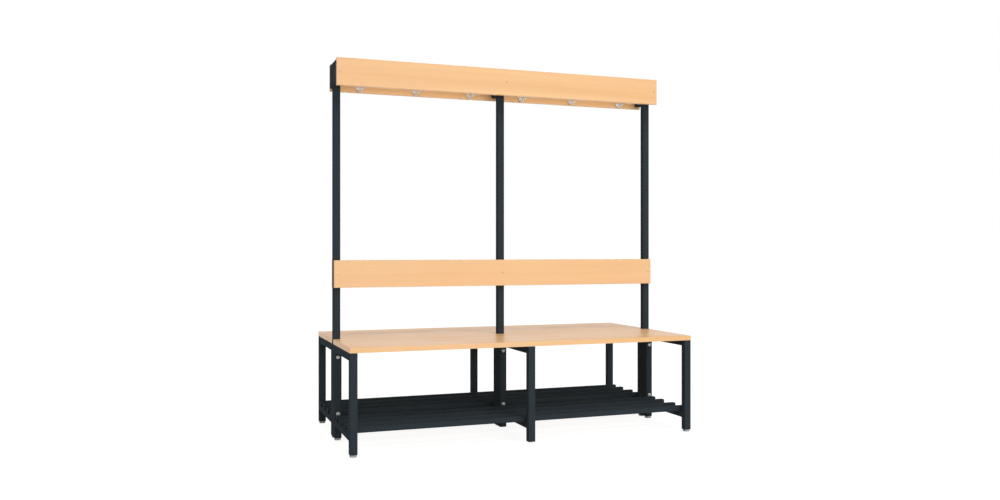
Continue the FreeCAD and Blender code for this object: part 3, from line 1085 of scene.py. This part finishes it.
def prong_edges():
    """Pairs of points, (x, z) in a view from the front, along the two edges of a prong that leans to +x.

    The first pair stands in the middle of the fork. The outer edge follows the neck before the prong.
    """
    lean = math.radians(PRONG_SPLAY)
    half = PRONG_WIDTH / 2
    neck = HOOK_STRIP_WIDTH / 2 + FORK_OVER_NECK
    crotch = half / math.tan(lean)
    neck_side = (neck - half * math.cos(lean)) / math.sin(lean)
    shaft = PRONG_LENGTH - half

    def point(run, across):
        x = run * math.sin(lean) + across * math.cos(lean)
        return x, PRONG_FORK + run * math.cos(lean) - across * math.sin(lean)

    pairs = []
    for k in range(FORK_STEPS + 1):
        share = k / FORK_STEPS
        pairs.append((point(crotch + FORK_FAN * share, -half), (neck * share, 0.0)))
    straight = crotch + FORK_FAN + FORK_TO_PRONG
    pairs.append((point(straight - FORK_TO_PRONG / 2, -half), point(neck_side, half)))
    for k in range(PRONG_STEPS + 1):
        run = straight + (shaft - straight) * k / PRONG_STEPS
        pairs.append((point(run, -half), point(run, half)))
    for k in range(1, TIP_STEPS + 1):
        angle = math.radians(90 * k / TIP_STEPS)
        wide = max(half * math.cos(angle), HOOK_EDGE_ROUND + HOOK_LEAST_FLAT / 2)
        run = shaft + half * math.sin(angle)
        pairs.append((point(run, -wide), point(run, wide)))
    return pairs


def fork_half(turn):
    """Loops of the half of the fork on one side, turn 1 or -1, out to the prong's round tip."""
    loops = []
    for (x_in, z_in), (x_out, z_out) in prong_edges():
        loop = []
        for share, lift in prong_section(math.hypot(x_out - x_in, z_out - z_in)):
            x = x_in + (x_out - x_in) * share
            loop.append(front_of_sheet(turn * x, z_in + (z_out - z_in) * share, lift))
        loops.append(loop if turn > 0 else loop[::-1])
    return loops


def hooks_and_screws(side):
    """The hooks of one board, and the screws that hold them."""
    hooks = Shell()
    screws = Shell()
    outward = "-y" if side > 0 else "y"
    for x in HOOK_PLACES_X:
        stand = Matrix.Translation((x, side * HOOK_BOARD_INNER_Y, HOOK_BOTTOM))
        if side > 0:
            stand = stand @ Matrix.Rotation(math.pi, 4, "Z")
        hooks.loft([[stand @ p for p in loop] for loop in hook_plate()])
        for turn in (-1, 1):
            hooks.loft([[stand @ p for p in loop] for loop in fork_half(turn)])
        for z in HOOK_SCREW_HEIGHTS:
            at = stand @ Vector((0, HOOK_THICKNESS, z))
            socket_screw(screws, outward, at, HOOK_SCREW_RADIUS, HOOK_SCREW_HEAD)
    return hooks, screws


for side_name, side in SIDES.items():
    hooks, screws = hooks_and_screws(side)
    node = f"coat_hooks_{side_name}"
    piece(f"bent_{node}", hooks, satin_hook_steel_painted_wood_reflection, replaces=[node])
    piece(f"hook_screws_{side_name}", screws, bright_zinc)


# Bolts in the boards and screws under the seats

BOARD_BOLT_RADIUS = 4.5
BOARD_BOLT_HEAD = 1.8
BACKREST_BOLT_ABOVE_MIDDLE = 0.8
BACKREST_BOLT_HEIGHT = BACKREST_MIDDLE + BACKREST_BOLT_ABOVE_MIDDLE
HOOK_BOLT_ABOVE_MIDDLE = 2.0
HOOK_BOLT_HEIGHT = HOOK_BOARD_MIDDLE + HOOK_BOLT_ABOVE_MIDDLE
SEAT_SCREW_RADIUS = 5.0
SEAT_SCREW_HEAD = 2.6
SEAT_SCREWS_Y = (120.0, 290.0)

board_bolts = Shell()
for x in SUPPORTS.values():
    for side in SIDES.values():
        axis = "y" if side > 0 else "-y"
        for face_y, z in ((HOOK_BOARD_OUTER_Y, HOOK_BOLT_HEIGHT), (BACKREST_OUTER_Y, BACKREST_BOLT_HEIGHT)):
            socket_screw(board_bolts, axis, (x, side * face_y, z), BOARD_BOLT_RADIUS, BOARD_BOLT_HEAD)
piece("board_bolts", board_bolts, dull_zinc)

seat_screws = Shell()
for place, x in SUPPORTS.items():
    screw_x = x - SEAT_ANGLE_FACES[place] * SEAT_ANGLE_THICKNESS
    for side in SIDES.values():
        for y in SEAT_SCREWS_Y:
            at = (screw_x, side * y, SEAT_BOTTOM - SEAT_ANGLE_THICKNESS)
            socket_screw(seat_screws, "-z", at, SEAT_SCREW_RADIUS, SEAT_SCREW_HEAD)
piece("seat_screws", seat_screws, bright_zinc)


# Floor, light and camera, in metres

FLOOR_COLOUR = 0.80
FLOOR_GLOW = 0.90
FLOOR_SHADE = 0.25
FLOOR_REACH = 14.0
FLOOR_SPLIT = MM * RAIL_MIDDLE_Y
WORLD_LIGHT = 0.58
PHOTO_WIDTH_PX = 1000.0
CAMERA_FOCUS_PX = 912.0
CAMERA_TURN = 0.3503
CAMERA_PLACE = (-1.4064, -3.8503, 0.7950)
CAMERA_SENSOR_WIDTH = 36.0
CAMERA_CLIP_END = 100.0


def seen_directly(look):
    """1 for rays of the camera and for mirrored or clear ones, and 0 for light that bounces about."""
    path = look.node("LightPath")
    seen = look.math("MAXIMUM", path.outputs["Is Camera Ray"], path.outputs["Is Glossy Ray"])
    return look.math("MAXIMUM", seen, path.outputs["Is Transmission Ray"])


floor_look = Look("pale_floor")
plain = floor_look.node("BsdfDiffuse", {"Color": grey(FLOOR_COLOUR)})
shade = floor_look.node("BsdfDiffuse", {"Color": grey(FLOOR_SHADE)})
glow = floor_look.node("Emission", {"Color": grey(1.0), "Strength": FLOOR_GLOW})
both = floor_look.node("AddShader", {0: shade.outputs[0], 1: glow.outputs[0]})
mixed = floor_look.node("MixShader", {0: seen_directly(floor_look), 1: plain.outputs[0], 2: both.outputs[0]})
floor_look.tree.nodes.remove(floor_look.shader)
floor_look.put(floor_look.tree.nodes["Material Output"].inputs["Surface"], mixed.outputs[0])

# The floor is laid in eight patches, level at rest. Each goes with its foot, so that the pad stays on it at
# any pose.
for side_name, side in SIDES.items():
    for place in FOOTED_SUPPORTS:
        for leg_name, near, far in (("inner", 0.0, FLOOR_SPLIT), ("outer", FLOOR_SPLIT, FLOOR_REACH)):
            left, right = sorted((0.0, math.copysign(FLOOR_REACH, SUPPORTS[place])))
            front, rear = sorted((side * near, side * far))
            corners = [(left, front, 0.0), (right, front, 0.0), (right, rear, 0.0), (left, rear, 0.0)]
            patch_mesh = bpy.data.meshes.new(f"floor_{side_name}_{place}_{leg_name}")
            patch_mesh.from_pydata(corners, [], [(0, 1, 2, 3)])
            patch_mesh.materials.append(floor_look.material)
            patch = bpy.data.objects.new(patch_mesh.name, patch_mesh)
            scene.collection.objects.link(patch)
            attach(patch, f"foot_{side_name}_{place}_{leg_name}_body")

world = bpy.data.worlds.new("studio")
scene.world = world
world.use_nodes = True
sky = Nodes(world.node_tree)
dim = sky.node("Background", {"Color": grey(1.0), "Strength": WORLD_LIGHT})
white = sky.node("Background", {"Color": grey(1.0), "Strength": 1.0})
mixed = sky.node("MixShader", {0: seen_directly(sky), 1: dim.outputs[0], 2: white.outputs[0]})
sky.put(sky.tree.nodes["World Output"].inputs["Surface"], mixed.outputs[0])


def lamp(name, location, target, width, height, power):
    """A large soft lamp."""
    data = bpy.data.lights.new(name, "AREA")
    data.shape = "RECTANGLE"
    data.size = width
    data.size_y = height
    data.energy = power
    made = bpy.data.objects.new(name, data)
    made.location = location
    made.rotation_euler = (Vector(target) - Vector(location)).to_track_quat("-Z", "Y").to_euler()
    scene.collection.objects.link(made)


lamp("front_lamp", location=(0.8, -6.5, 1.2), target=(0.0, 0.0, 0.7), width=5.0, height=1.2, power=110.0)
lamp("top_lamp", location=(1.5, -5.0, 7.0), target=(0.0, 0.0, 0.8), width=3.0, height=3.0, power=190.0)

camera_data = bpy.data.cameras.new("camera")
camera_data.sensor_fit = "HORIZONTAL"
camera_data.sensor_width = CAMERA_SENSOR_WIDTH
camera_data.lens = CAMERA_SENSOR_WIDTH * CAMERA_FOCUS_PX / PHOTO_WIDTH_PX
camera_data.clip_end = CAMERA_CLIP_END
camera = bpy.data.objects.new("camera", camera_data)
camera.location = CAMERA_PLACE
camera.rotation_euler = (math.pi / 2, 0.0, -CAMERA_TURN)
scene.collection.objects.link(camera)
bpy.context.scene.camera = camera

bpy.context.scene.view_settings.view_transform = "Standard"
